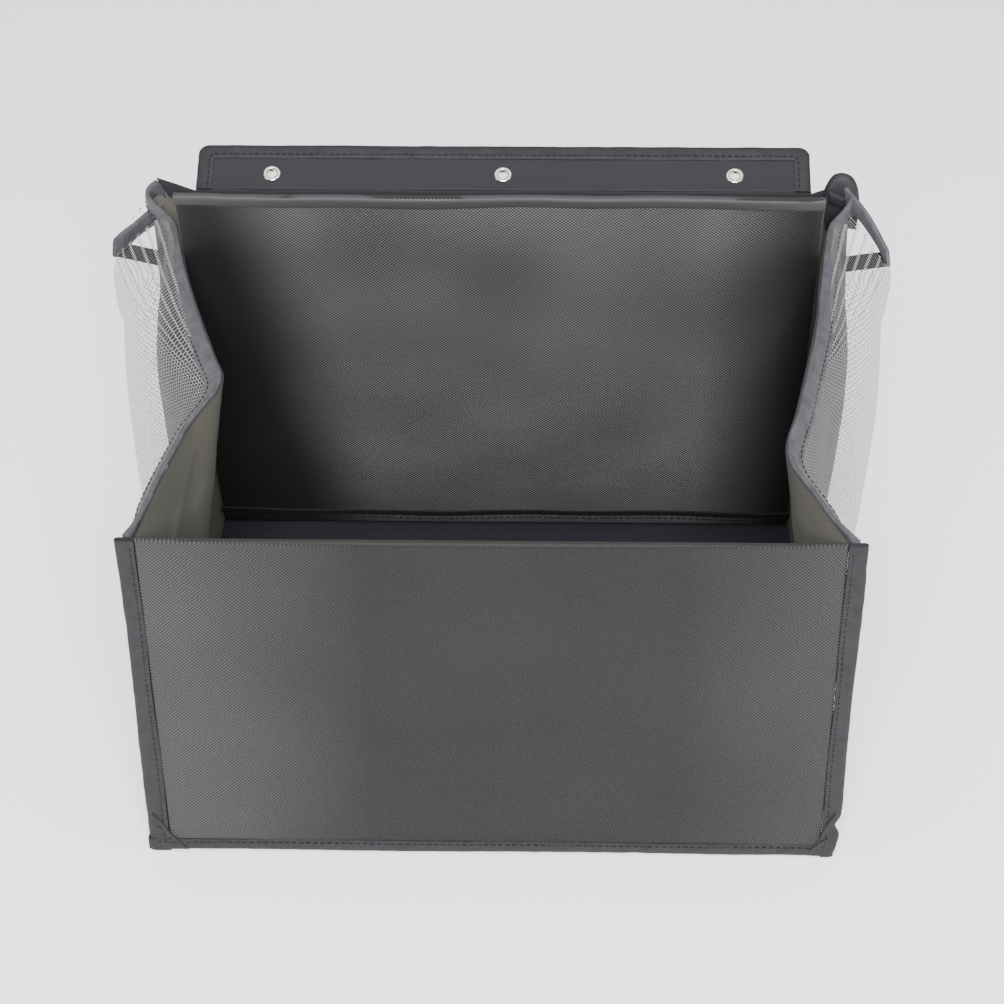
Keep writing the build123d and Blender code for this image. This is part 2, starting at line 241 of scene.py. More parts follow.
# Depths of the table's columns, then how far in the side stands at its foot, at 90, at 215 and at the top.
AT = {
    "left": [0, 8, 45, 85, 120, 158, 180, 220, 270, 316],
    "right": [0, 8, 45, 85, 120, 158, 205, 245, 280, 316],
}
SIDE_IN = {
    "left": [
        [0] * 10,
        [0, -8, -18, -14, -4, 8, 11, 8, 3, 0],
        [0, -14, -22, -15, 2, 21, 29, 18, 7, 0],
        [0, -22, -5, 5, 16, 29, 36, 22, 9, 0],
    ],
    "right": [
        [0] * 10,
        [0, -8, -18, -15, -6, 1, 6, 9, 5, 0],
        [0, -14, -22, -16, -5, 6, 17, 24, 13, 0],
        [0, -18, -6, 1, 5, 12, 22, 30, 16, 0],
    ],
}
# The same for the net: the depths of its back columns at five heights, and how far in it stands there.
NET_AT = [
    [0, 20, 50, 90, 125, 158],
    [0, 20, 50, 90, 125, 158],
    [0, 20, 50, 90, 125, 158],
    [45, 65, 85, 105, 130, 158],
    [12, 30, 50, 85, 120, 158],
]
FOOT = [[-9, -6, -4, -3.5, -3.5], [-10, -30, -38, -36, -30], [-10, -36, -44, -34, -20]]
NET_IN = {
    "left": [
        FOOT[0] + [-3.5, -3.5, -3.5, -5, -9],
        FOOT[1] + [-24, -20, -16, -12, -9],
        FOOT[2] + [-2, 2, -2, -6, -9],
        [-44, -42, -34, -22, -6, 14, 24, 12, 0, -6],
        [-24, -15, -8, 2, 13, 26, 33, 19, 6, -4],
    ],
    "right": [
        FOOT[0] + [-3.5, -3.5, -3.5, -5, -9],
        FOOT[1] + [-24, -20, -16, -12, -9],
        FOOT[2] + [-2, 2, 4, -2, -9],
        [-44, -42, -34, -24, -12, 4, 12, 18, 6, -6],
        [-21, -13, -9, -2, 2, 9, 19, 27, 13, -4],
    ],
}


def through(xs, ys, x, straight=False):
    """The value at x on a smooth curve, or on straight lines, through the listed points."""
    x = np.asarray(x, float)
    k = len(xs)
    xs = np.broadcast_to(np.reshape(np.asarray(xs, float), (k, -1)), (k, x.size))
    ys = np.broadcast_to(np.reshape(np.asarray(ys, float), (k, -1)), (k, x.size))
    flat_x = x.reshape(-1)
    i = np.clip((flat_x[None] >= xs[1:-1]).sum(0), 0, k - 2)
    slopes = np.diff(ys, axis=0) / np.diff(xs, axis=0)
    turns = np.concatenate([slopes[:1], (slopes[:-1] + slopes[1:]) / 2, slopes[-1:]])
    n = np.arange(x.size)
    x0, y0, h = xs[i, n], ys[i, n], xs[i + 1, n] - xs[i, n]
    t = (flat_x - x0) / h
    if straight:
        return (y0 + slopes[i, n] * h * t).reshape(x.shape)
    a, b, s = turns[i, n] * h, turns[i + 1, n] * h, slopes[i, n] * h
    return (y0 + a * t + (3 * s - 2 * a - b) * t**2 + (a + b - 2 * s) * t**3).reshape(x.shape)


def top_of_side(depth):
    """Height of the side's top edge. At the very back it is drawn up to the sewn corner."""
    depth = np.asarray(depth, float)
    rise = 17.0 * np.clip(1 - np.abs(depth - 7) / np.where(depth < 7, 9, 150), 0, 1) ** 1.6
    return REAR_TOP + (FRONT_TOP - REAR_TOP) * depth / DEPTH + rise


def side_in(name, depth, z):
    """How far in the side cloth stands at a depth and a height."""
    rows = [through(AT[name], values, depth) for values in SIDE_IN[name]]
    top = top_of_side(depth)
    return through([0.6 + 0 * top, 90 + 0 * top, 215 + 0 * top, top], rows, z)


def points(x, y, z):
    """Row points in metres, from millimetres. A single number serves for all of them."""
    return np.stack(np.broadcast_arrays(x, y, z), -1) / 1000


def placed(name, inward, depth, z):
    """Row points, in metres, from how far in, how deep and how high."""
    hand = -1 if name == "left" else 1
    return points(hand * (HALF - inward), BACK_Y - depth, z)


def net_point(name, s, t):
    """A point of the net: s from back to front and t from its foot to its top, both from 0 to 1."""
    stops = np.array(NET_AT[0] + AT[name][6:]) / DEPTH
    ups = np.array([0, 0.33, 0.77, 0.945, 1.0])
    deep = np.array([through(stops, row + AT[name][6:], s, True) for row in NET_AT])
    inward = np.array([through(stops, row, s) for row in NET_IN[name]])
    top = top_of_side(deep[4])
    high = [0.8 + 0 * s, 90 + 0 * s, 215 + 0 * s, top_of_side(deep[3]) - 14, top - 0.5]
    d = through(ups, deep, t, True)
    return placed(name, through(ups, inward, t), d, through(ups, high, t, True))


def ripple(spots, size, seed):
    """A smooth noise from -1 to 1 at each point, with waves about as long as size, in metres."""
    return np.array([noise.noise(Vector(p) / size + Vector((seed * 17.3, seed * 5.1, 0))) for p in spots])


def drift(x, z, size, seed):
    """The same noise over the face of a panel."""
    return ripple(np.stack([x, 0 * x, z], -1), size, seed)


def y_at(depth):
    """Row Y, in millimetres, of a place at this depth."""
    return BACK_Y - depth


peak, height = np.array([178.0]), np.array([261.0])
print("left apex", placed("left", side_in("left", peak, height), peak, height))

# %% [markdown]
# ## Ways of making a cloth piece
# Three helpers cover nearly everything. A sheet is a grid primitive whose points are laid on a surface.
# A strip or tube is a grid rolled through rings of points, its doubled edge merged and its ends filled.
# A stiff panel is a cube that is subdivided and then given a rounded rim and a slight puff, as a cloth
# cover has over its board. Each writes a UV map in metres, so that one weave fits every piece.

# %% Grid, strip and panel helpers
def alone(obj=None):
    """Deselects all, then selects and activates one object."""
    for other in list(bpy.context.selected_objects):
        other.select_set(False)
    if obj is not None:
        obj.select_set(True)
        bpy.context.view_layer.objects.active = obj


def read(obj):
    """The mesh's points as an array."""
    flat = np.empty(len(obj.data.vertices) * 3)
    obj.data.vertices.foreach_get("co", flat)
    return flat.reshape(-1, 3)


def write(obj, spots):
    """Moves the mesh's points to those of an array."""
    obj.data.vertices.foreach_set("co", np.ascontiguousarray(spots, dtype=float).reshape(-1))
    obj.data.update()


def map_cloth(obj, per_vertex):
    """A UV map named cloth, in metres, from one pair for each vertex."""
    while obj.data.uv_layers:
        obj.data.uv_layers.remove(obj.data.uv_layers[0])
    layer = obj.data.uv_layers.new(name="cloth")
    corner = np.empty(len(obj.data.loops), dtype=np.int32)
    obj.data.loops.foreach_get("vertex_index", corner)
    layer.data.foreach_set("uv", np.asarray(per_vertex)[corner].reshape(-1).astype(np.float32))


def edit(obj, *steps):
    """Runs edit-mode operators, each a function, on the whole mesh."""
    alone(obj)
    bpy.ops.object.mode_set(mode="EDIT")
    bpy.ops.mesh.select_all(action="SELECT")
    for step in steps:
        step()
    bpy.ops.object.mode_set(mode="OBJECT")


def outwards():
    bpy.ops.mesh.select_all(action="SELECT")
    bpy.ops.mesh.normals_make_consistent(inside=False)


def soften(obj, angle=50):
    alone(obj)
    bpy.ops.object.shade_smooth_by_angle(angle=radians(angle))


def grid(name, across, along):
    """A grid primitive, with each point's column and row."""
    alone()
    bpy.ops.mesh.primitive_grid_add(x_subdivisions=across, y_subdivisions=along, size=1)
    obj = bpy.context.object
    obj.name = name
    co = read(obj)
    columns, rows = np.rint((co[:, 0] + 0.5) * across), np.rint((co[:, 1] + 0.5) * along)
    return obj, columns.astype(int), rows.astype(int)


def run_along(way):
    """How far along a line of points each one lies."""
    return np.concatenate([[0], np.cumsum(np.linalg.norm(np.diff(way, axis=0), axis=1))])


def roll(name, rings):
    """A closed skin through rings of points, an array of rings by points by 3, in metres."""
    count, around = rings.shape[:2]
    obj, i, j = grid(name, around, count - 1)
    loop = np.concatenate([rings, rings[:, :1]], 1)
    write(obj, loop[j, i])
    u, v = run_along(loop[count // 2]), run_along(rings.mean(1))
    map_cloth(obj, np.stack([u[i], v[j]], -1))
    edit(
        obj,
        lambda: bpy.ops.mesh.remove_doubles(threshold=2e-6),
        lambda: bpy.ops.mesh.fill_holes(sides=0),
        outwards,
    )
    soften(obj)
    return obj


def stiff_panel(name, width, height, thick, cuts, puff, rub=None):
    """A board in its cover, standing on Z 0 with its face to -Y; puff(x, z) is in metres, and the last
    function says from 0 to 1 how much painted sheen and painted light the cloth gets."""
    alone()
    bpy.ops.mesh.primitive_cube_add(size=1)
    obj = bpy.context.object
    obj.name = name
    edit(obj, lambda: bpy.ops.mesh.subdivide(number_cuts=cuts))
    co = read(obj)
    x, q, z = co[:, 0] * width, co[:, 1] * 2, (co[:, 2] + 0.5) * height
    pull = thick / 2 * (1 - np.sqrt(np.clip(1 - 0.92 * q**2, 0, 1)))
    edge_x, edge_z = np.abs(co[:, 0]) > 0.499, np.abs(co[:, 2]) > 0.499
    spot = np.stack([x + q * thick / 2, z + q * thick / 2], -1)
    x = x - np.sign(co[:, 0]) * pull * edge_x
    z = z - np.sign(co[:, 2]) * pull * edge_z
    hold = (1 - np.abs(2 * co[:, 0]) ** 8) * (1 - np.abs(2 * co[:, 2]) ** 8)
    y = q * thick / 2 + np.sign(q) * (np.abs(q) > 0.99) * hold * puff(x, z)
    write(obj, np.stack([x, y, z], -1))
    map_cloth(obj, spot)
    # The attribute written here is painted light: it paints sheen and light into the raised squares.
    if rub:
        layer = obj.data.attributes.new("rub", "FLOAT", "POINT")
        layer.data.foreach_set("value", np.clip(rub(x, z), 0, 1).astype(np.float32))
    edit(obj, outwards)
    soften(obj, 60)
    return obj


def thicken(obj, amount, offset=-1.0, inner=0, even=False):
    """Gives a sheet its thickness in metres; inner is added to the material number of its back."""
    solid = obj.modifiers.new("thickness", "SOLIDIFY")
    solid.thickness, solid.offset, solid.material_offset = amount, offset, inner
    solid.use_even_offset = even
    alone(obj)
    bpy.ops.object.modifier_apply(modifier="thickness")


def move(obj, function):
    write(obj, function(read(obj)))
    return obj


def hand_over(piece, finishes, body=None, stands_for=()):
    """Gives a piece its materials and the body it rides on, and hides the solids it covers."""
    piece.data.materials.clear()
    for finish in finishes:
        piece.data.materials.append(finish)
    if body:
        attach(piece, body)
    if stands_for:
        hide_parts(*stands_for)
    print(piece.name, len(piece.data.polygons), "faces on", body or "a blend")
    return piece


# %% [markdown]
# ## Tape and stitches
# A tape is folded in half along a sewn edge. Its section is a flat loop with a round fold on one side.
# It follows two lines, the fold and the free edge, so it can turn a corner, and it ripples a little
# because the sewing gathers it. A stitch is modelled once, as a small pinched bead, and copied along a
# line just inside the free edge.

# %% Tape and stitch helpers
def even(way, step):
    """Points evenly spaced along straight runs through the given ones."""
    way = np.asarray(way, float)
    run = run_along(way)
    at = np.linspace(0, run[-1], max(2, int(round(run[-1] / step)) + 1))
    return np.stack([np.interp(at, run, way[:, k]) for k in range(3)], -1)


def units(v):
    return v / np.linalg.norm(v, axis=-1, keepdims=True)


def folded_tape(name, fold, free, face, half, wave=0.0003, seed=1):
    """Tape round an edge: fold and free are lines of points, face the way its front looks."""
    fold, free = np.asarray(fold, float), np.asarray(free, float)
    face = np.broadcast_to(np.asarray(face, float), fold.shape)
    section = [(1.0, 0.86), (0.93, 1.0), (0.7, 1.0), (0.45, 1.02), (0.22, 1.0), (0.09, 0.8), (0.015, 0.42)]
    section = section + [(0.0, 0.0)] + [(a, -b) for a, b in section[::-1]]
    width = np.linalg.norm(free - fold, axis=1).mean()
    rings = []
    for a, b in section:
        base = fold + (free - fold) * a
        lift = ripple(base + face * 0.02, 0.009, seed) * wave + ripple(base, 0.03, seed + 3) * wave * 1.2
        edge = ripple(fold, 0.012, seed + 7) * wave * 1.1 * (1 - a)
        rings.append(base + face * (half * b + lift)[:, None] + units(fold - free) * edge[:, None])
    return roll(name, np.stack(rings, 1))


def stitches(name, line, face, body, length=0.0031, pitch=0.0044, radius=0.00042):
    """A row of thread stitches along a line, lying on the side that face points to."""
    line = even(line, pitch)
    face = np.broadcast_to(np.asarray(face, float), (len(line), 3)) if np.ndim(face) == 1 else face
    alone()
    bpy.ops.mesh.primitive_uv_sphere_add(segments=6, ring_count=4, radius=1)
    bead = bpy.context.object
    shape = read(bead)
    shape[:, 2] = np.sign(shape[:, 2]) * np.abs(shape[:, 2]) ** 0.8  # pinched ends
    sides = [list(p.vertices) for p in bead.data.polygons]
    bpy.data.objects.remove(bead)
    spots, faces, maps = [], [], []
    for k in range(len(line) - 1):
        a, b = Vector(line[k]), Vector(line[k + 1])
        run = (b - a).normalized()
        up = Vector(face[k] if len(face) > k else face[-1]).normalized()
        cross = run.cross(up).normalized()
        middle = (a + b) / 2 + run * (noise.noise(a * 900) * 0.0002)
        base = len(spots)
        for x, y, z in shape:
            spots.append(middle + run * (z * length / 2) + up * (y * radius) + cross * (x * radius))
            maps.append((x * radius, z * length / 2))
        faces += [[v + base for v in side] for side in sides]
    mesh = bpy.data.meshes.new(name)
    mesh.from_pydata([tuple(p) for p in spots], [], faces)
    obj = bpy.data.objects.new(name, mesh)
    bpy.context.scene.collection.objects.link(obj)
    map_cloth(obj, maps)
    edit(obj, outwards)
    soften(obj, 80)
    obj.data.materials.append(thread)
    if body:
        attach(obj, body)
    return obj


def line_between(a, b, step=0.004):
    return even(np.array([a, b]) / 1000, step)


print("helpers ready")

# %% [markdown]
# ## Front panel
# A board in a woven cover, with the cover folded plainly over its top edge. It could be a flat box, but
# the cloth puffs a little over the board and sags between its stitched edges, so it starts as a
# subdivided cube and its faces are moved by a shallow, wide noise.

# %% Front panel
def front_puff(x, z):
    return 0.0007 + 0.0010 * drift(x, z, 0.11, 2) + 0.0004 * drift(x, z, 0.035, 5)


def front_painted_sheen(x, z):
    """Painted sheen: lighter along both sides and at the lower left, where light glances off the weave, and
    dark in the middle.
    """
    bend = 0.25 * drift(x, z, 0.09, 8)
    left = np.clip((-x - 0.075) / 0.125, 0, 1) ** 0.8
    right = np.clip((x - 0.11) / 0.09, 0, 1)
    return 0.01 + 0.29 * np.maximum(left, 0.8 * right) * (1 + bend) + 0.1 * bend


front_panel = stiff_panel("front_panel", 0.400, 0.242, 0.004, 56, front_puff, front_painted_sheen)


def set_front(p):
    sag = 0.0028 * (1 - (p[:, 0] / 0.2) ** 2) * (p[:, 2] / 0.242) ** 6
    return np.stack([p[:, 0], p[:, 1] + (y_at(DEPTH) - 2) / 1000, p[:, 2] + 0.010 - sag], -1)


move(front_panel, set_front)
hand_over(front_panel, [oxford], "front", ["front_cover"])

# %% [markdown]
# ## Front binding
# Tape binds both sides and the bottom of the front. At the left foot it turns the corner in a wrinkled
# mitre. At the right foot the side tape is pinched in, and the bottom tape was cut off square, so a few
# yarns fray out of its end.

# %% Front binding
FRONT_MID = y_at(DEPTH) - 2.0
TO_FRONT = np.array([0, -1.0, 0])
for name, hand in HANDS:
    z = np.arange(0.4, FRONT_TOP + 0.5, 2.2)
    fold_x = 211 + 0.5 * np.sin(z / 31 + hand) - (hand + 1) * 1.7 * np.exp(-(((z - 2) / 6) ** 2))
    free_x = 200.0 + 0.3 * np.sin(z / 17)
    if name == "left":
        fold_x = fold_x + 2.6 * np.exp(-z / 70)
    if name == "right":
        fold_x = fold_x - 3.4 * np.exp(-(((z - 27) / 5.5) ** 2)) - 1.2 * np.exp(-(((z - 12) / 5) ** 2))
    fold = points(hand * fold_x, FRONT_MID, z)
    free = points(hand * free_x, FRONT_MID - 0.3, z)
    tape = folded_tape("front_tape_" + name, fold, free, TO_FRONT, 0.0019, 0.00035, 3 + hand)
    hand_over(tape, [panel_binding], "front", ["front_tape_" + name])
    for side, word in ((1, "front"), (-1, "back")):
        row = fold + (free - fold) * 0.78 + TO_FRONT * 0.0021 * side
        stitches(f"front_stitch_{name}_{word}", row[3:-2], TO_FRONT * side, "front")

x = np.arange(-213.5, 205.0, 2.3)
foot_z = 0.3 + 0.35 * (1 + np.sin(x / 37)) * (np.abs(x) < 190)
fold = points(x, FRONT_MID, foot_z)
free = points(x, FRONT_MID - 0.2, 11.0 + 0.25 * np.sin(x / 23))
bottom_tape = folded_tape("front_tape_bottom", fold, free, TO_FRONT, 0.0021, 0.0003, 9)
hand_over(bottom_tape, [panel_binding], "front", ["front_tape_bottom"])
stitches("front_stitch_bottom", (fold + (free - fold) * 0.72 + TO_FRONT * 0.0023)[2:-2], TO_FRONT, "front")

# %% [markdown]
# The mitre's wrinkles are three short pleats of the same tape, and the frayed yarns are thin bent tubes.

# %% Pleats and frayed yarns
# Where each pleat starts and ends, in X and Z, and how wide it is, in millimetres.
PLEATS = [(-209, 33, -196, 8, 2.6), (-206, 22, -190, 3, 2.2), (207, 38, 198, 12, 2.8), (204, 17, 193, 6, 2.4)]
for k, (x0, z0, x1, z1, w) in enumerate(PLEATS):
    way = line_between((x0, FRONT_MID - 2.0, z0), (x1, FRONT_MID - 2.2, z1), 0.0015)
    t = np.linspace(0, 1, len(way))[:, None]
    across = units(np.cross(way[-1] - way[0], TO_FRONT)) * (w / 2000) * np.sin(pi * (0.04 + 0.92 * t))
    pleat = folded_tape(f"foot_pleat_{k + 1}", way - across, way + across, TO_FRONT, 0.0010, 0.0002, 20 + k)
    hand_over(pleat, [panel_binding], "front")

YARNS = 7
for k in range(YARNS):
    start = Vector((0.2035, (FRONT_MID - 1) / 1000, 0.0015 + 0.0013 * k))
    bits = [start]
    for step in range(5):
        spot = Vector((k * 3.7, step * 0.61, 8.3))
        aside, up = noise.noise(spot), noise.noise(spot + Vector((0, 0, 13.5)))
        bits.append(bits[-1] + Vector((0.0011, -0.0002 + 0.0004 * aside, 0.0005 * up * (step + 1))))
    way = even(bits, 0.0004)
    ring = np.array([[0, cos(a), sin(a)] for a in np.linspace(0, 2 * pi, 5, endpoint=False)]) * 0.00016
    yarn = roll(f"frayed_yarn_{k + 1}", way[:, None] + ring[None])
    hand_over(yarn, [panel_binding], "front")

# %% [markdown]
# ## Back panel
# The back is made as the front is. Most of it shows only from behind and through the nets.

# %% Back panel and its binding
def back_puff(x, z):
    return 0.0004 + 0.0007 * drift(x, z, 0.1, 31)


rear_panel = stiff_panel("rear_panel", 0.400, 0.2612, 0.004, 40, back_puff)
move(rear_panel, lambda p: p + np.array([0, (BACK_Y + 2) / 1000, 0.010]))
hand_over(rear_panel, [oxford], "back", ["rear_cover"])
REAR_MID = BACK_Y + 2.0
TO_BACK = np.array([0, 1.0, 0])
for name, hand in HANDS:
    z = np.arange(0.4, REAR_TOP + 0.5, 2.4)
    fold = points(hand * (210.8 + 0.4 * np.sin(z / 29)), REAR_MID, z)
    free = points(hand * 200.0, REAR_MID, z)
    tape = folded_tape("rear_tape_" + name, fold, free, TO_BACK, 0.0018, 0.0003, 41 + hand)
    hand_over(tape, [panel_binding], "back", ["rear_tape_" + name])
    row = fold + (free - fold) * 0.78 + TO_BACK * 0.0020
    stitches("rear_stitch_" + name, row[2:-2], TO_BACK, "back")
x = np.arange(-204.0, 205.0, 2.6)
fold, free = points(x, REAR_MID, 0.4), points(x, REAR_MID, 10.8)
tape = folded_tape("rear_tape_bottom", fold, free, TO_BACK, 0.0020, 0.0003, 47)
hand_over(tape, [panel_binding], "back", ["rear_tape_bottom"])
stitches("rear_stitch_bottom", (fold + (free - fold) * 0.75 + TO_BACK * 0.0022)[2:-2], TO_BACK, "back")

# %% [markdown]
# ## Floor
# Two lined boards that meet on the crease across the middle. Each is a stiff panel laid on its back.

# %% Floor halves
def floor_puff(x, z):
    return 0.0002 + 0.0003 * drift(x, z, 0.08, 51)


for name, near, far in (("rear", 12.3, 161.2), ("front", 161.8, 310.7)):
    half = stiff_panel("floor_" + name, 0.3985, (far - near) / 1000, 0.0034, 24, floor_puff)
    move(half, lambda p: np.stack([p[:, 0], y_at(far) / 1000 + p[:, 2], 0.0022 - p[:, 1]], -1))
    hand_over(half, [lining], "floor_" + name, ["floor_cover_" + name])

# %% [markdown]
# Narrow strips of the same lining join the floor to the back and the front, under its hinge lines.

# %% Floor joining strips
for name, low, high in (("back", -1.2, 13.2), ("front", DEPTH - 9.2, DEPTH + 1.2)):
    strip, i, j = grid("floor_join_" + name, 40, 4)
    x, depth = (i / 40 - 0.5) * 401, low + (high - low) * j / 4
    write(strip, points(x, y_at(depth), 0.35))
    map_cloth(strip, np.stack([x, depth], -1) / 1000)
    edit(strip, outwards)
    thicken(strip, 0.0005, offset=0.0)
    hand_over(strip, [lining], name)
    flat = (0.401, (high - low) / 1000)

# %% [markdown]
# ## Floor insert
# The loose-topped panel that stands up inside the back and leans forward. It is the most seen surface,
# so it gets the deepest puff. Its cover's hem is folded over the top edge as a smooth band, and a sewn
# ridge runs across near its foot.

# %% Floor insert
LEAN = radians(13.4)


def stand_insert(p):
    y = p[:, 1] * cos(LEAN) - p[:, 2] * sin(LEAN) + y_at(4.0) / 1000
    return np.stack([p[:, 0], y, p[:, 1] * sin(LEAN) + p[:, 2] * cos(LEAN) + 0.0034], -1)


def insert_puff(x, z):
    ends = 0.0009 * (np.abs(x) / 0.198) ** 4
    foot = 0.0010 * np.exp(-(((z - 0.03) / 0.02) ** 2)) * drift(x, z, 0.04, 61)
    return 0.0004 + 0.0011 * drift(x, z, 0.09, 60) + foot - ends


def insert_painted_light(x, z):
    """Painted light, lightest on the swell across the middle, fading to painted shade at both ends, where the
    sides shade the insert, and reaching further in at the lower left.
    """
    bend = 0.3 * drift(x, z, 0.07, 63)
    left = np.clip((x + 0.188 - 0.05 * (1 - z / 0.33)) / 0.07, 0, 1)
    right = np.clip((0.19 - x) / 0.06, 0, 1)
    return (0.90 - 0.06 * z / 0.33 + bend) * left * left * (3 - 2 * left) * right


insert_panel = stiff_panel("insert_panel", 0.396, 0.3302, 0.004, 60, insert_puff, insert_painted_light)
SPREAD = 0.004  # the insert is a little wider at its top


def widen(p):
    as_is = 0 * p[:, 0] + 1
    return p * np.stack([1 + SPREAD * p[:, 2] / 0.33, as_is, as_is], -1)


move(insert_panel, widen)
move(insert_panel, stand_insert)
hand_over(insert_panel, [oxford], "insert", ["insert_cover"])

x = np.arange(-199.0, 199.1, 2.6) / 1000
dip = 0.0009 * np.sin(x * 23) + 0.0006 * np.sin(x * 61 + 1)
to_face = np.array([[0, -cos(LEAN), -sin(LEAN)]])
fold = stand_insert(np.stack([x, 0 * x, 0.3306 + dip * 0.6], -1))
free = stand_insert(np.stack([x, 0 * x, 0.3228 + dip], -1))
insert_hem = folded_tape("insert_hem", fold, free, to_face, 0.0025, 0.0002, 64)
hand_over(insert_hem, [hem_cloth], "insert")
fold = stand_insert(np.stack([x, 0 * x - 0.0022, 0.0155 + dip], -1))
free = stand_insert(np.stack([x, 0 * x - 0.0022, 0.0105 + dip], -1))
insert_ridge = folded_tape("insert_foot_seam", fold, free, to_face, 0.0008, 0.0002, 66)
hand_over(insert_ridge, [oxford], "insert")
row = (fold + free) / 2 + to_face * 0.0013 - (fold - free) * 0.9
stitches("insert_foot_stitch", row, to_face[0], "insert")

# %% [markdown]
# ## Hanging flap
# A thin stiffened flap, leaning back from the top of the back panel. Its cloth is pressed flat. One
# length of tape goes up one side, round two small corners and down the other, so its fold follows the
# outline while its free edge turns on a square corner. That difference is what puckers it.

# %% Hanging flap
TILT = radians(66.0)


def hang_flap(p):
    p = np.asarray(p, float)
    y = p[:, 1] * cos(TILT) + p[:, 2] * sin(TILT) + (BACK_Y + 6.2) / 1000
    return np.stack([p[:, 0], y, -p[:, 1] * sin(TILT) + p[:, 2] * cos(TILT) + 0.2714], -1)


flap_front = np.array([0, -cos(TILT), sin(TILT)])


def flap_puff(x, z):
    return 0.0001 + 0.00018 * drift(x, z, 0.05, 71)


flap_panel = stiff_panel("flap_panel", 0.390, 0.0313, 0.0019, 40, flap_puff)
EYELETS = {"left": -0.15, "middle": 0.0, "right": 0.15}
for x in EYELETS.values():
    alone()
    bpy.ops.mesh.primitive_cylinder_add(vertices=32, radius=0.0036, depth=0.02, location=(x, 0, 0.0116))
    punch = bpy.context.object
    centre = (x, 0, 0.0116)
    edit(punch, lambda: bpy.ops.transform.rotate(value=pi / 2, orient_axis="X", center_override=centre))
    hole = flap_panel.modifiers.new("hole", "BOOLEAN")
    hole.operation, hole.object, hole.solver = "DIFFERENCE", punch, "EXACT"
    alone(flap_panel)
    bpy.ops.object.modifier_apply(modifier="hole")
    bpy.data.objects.remove(punch)
move(flap_panel, lambda p: hang_flap(p + np.array([0, 0, 0.0014])))
hand_over(flap_panel, [flap_cloth], "flap", ["hanging_flap"])

SIDE_POINTS = 27  # points of the outline up one side and round its corner
outline, inner = [], []
for z in np.linspace(1.3, 28.5, 18):
    outline.append((-199, z)), inner.append((-188.5, min(z, 25.0)))
for a in np.linspace(pi, pi / 2, 9):
    outline.append((-192 + 7 * cos(a), 28.5 + 7 * sin(a)))
    inner.append((-188.5 + (a < 2.2) * (2.2 - a) * 3.5, 25.0))
for x in np.arange(-187.5, 188.0, 2.5):
    outline.append((x, 35.5)), inner.append((x, 25.0))
corner = [(-x, z) for x, z in outline[:SIDE_POINTS][::-1]]
corner_in = [(-x, z) for x, z in inner[:SIDE_POINTS][::-1]]
outline, inner = np.array(outline + corner), np.array(inner + corner_in)


def lay(xz):
    """Row points of a flat drawing of the flap, in millimetres."""
    return hang_flap(points(xz[:, 0], 0, xz[:, 1]))


fold, free = lay(outline), lay(inner)
flap_tape = folded_tape("flap_tape", fold, free, flap_front, 0.0019, 0.00028, 73)
hand_over(flap_tape, [dark_binding], "flap", ["flap_tape"])
row = lay(outline + (inner - outline) * 0.74)
keep = np.concatenate([[True], np.linalg.norm(np.diff(row, axis=0), axis=1) > 1e-5])
stitches("flap_stitch_front", row[keep][1:-1] + flap_front * 0.0021, flap_front, "flap")
stitches("flap_stitch_back", row[keep][1:-1] - flap_front * 0.0021, -flap_front, "flap")

# %% [markdown]
# A strip of the flap's cloth runs over the top edge of the back and under the flap: it is the hinge, so
# it bends between the two.

# %% Flap hinge
hinge, i, j = grid("flap_hinge_cloth", 60, 16)
# How far behind the back's inner face the strip lies, and how high, from its front edge on.
behind = [0.0, 0.1, 1.6, 4.0, 6.0, 9.5, 13.5]
height = [270.0, 271.4, 272.2, 272.0, 271.7, 273.2, 275.0]
knots = range(len(behind))
run = through(knots, behind, j * 6 / 16), through(knots, height, j * 6 / 16)
x = (i / 60 - 0.5) * 398
write(hinge, points(x, BACK_Y + run[0], run[1] + 0.25 * np.sin(x / 19)))
map_cloth(hinge, np.stack([x, j * 1.1], -1) / 1000)
edit(hinge, outwards)
thicken(hinge, 0.0006)
hinge.data.materials.append(flap_cloth)
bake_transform(hinge)

# %% [markdown]
# ## Eyelets
# A rolled eyelet is a ring pressed through the cloth. Its section is drawn once, a flattened round for
# the rim, and spun round the hole. A short barrel goes through the flap to a thin washer behind. The
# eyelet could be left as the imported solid, but a rolled rim catches the light as the real one does.

# %% Eyelets
def spun(name, radius, width, height):
    """A rolled ring about Z: an oval section spun once round."""
    alone()
    bpy.ops.mesh.primitive_circle_add(vertices=14, radius=1, location=(0, 0, 0))
    ring = bpy.context.object
    ring.name = name
    c = read(ring)
    write(ring, np.stack([radius + c[:, 0] * width / 2, 0 * c[:, 0], c[:, 1] * height / 2], -1))
    edit(
        ring,
        lambda: bpy.ops.mesh.spin(steps=40, angle=2 * pi, center=(0, 0, 0), axis=(0, 0, 1)),
        lambda: bpy.ops.mesh.select_all(action="SELECT"),
        lambda: bpy.ops.mesh.remove_doubles(threshold=1e-6),
        outwards,
    )
    soften(ring)
    return ring


for name, x in EYELETS.items():
    rim = spun("eyelet_" + name, 0.00462, 0.00275, 0.0017)
    barrel = spun("barrel_" + name, 0.00352, 0.0005, 0.0042)
    move(barrel, lambda p: p - np.array([0, 0, 0.0012]))
    alone(barrel)
    rim.select_set(True)
    bpy.context.view_layer.objects.active = rim
    bpy.ops.object.join()
    washer = spun("eyelet_washer_" + name, 0.0048, 0.0024, 0.0007)
    for ring, lift, node in ((rim, -0.00145, "eyelet_"), (washer, 0.0013, "eyelet_washer_")):
        move(ring, lambda p: hang_flap(np.stack([p[:, 0] + x, lift - p[:, 2], p[:, 1] + 0.0130], -1)))
        edit(ring, outwards)
        map_cloth(ring, np.zeros((len(ring.data.vertices), 2)))
        hand_over(ring, [nickel], "flap", [node + name])

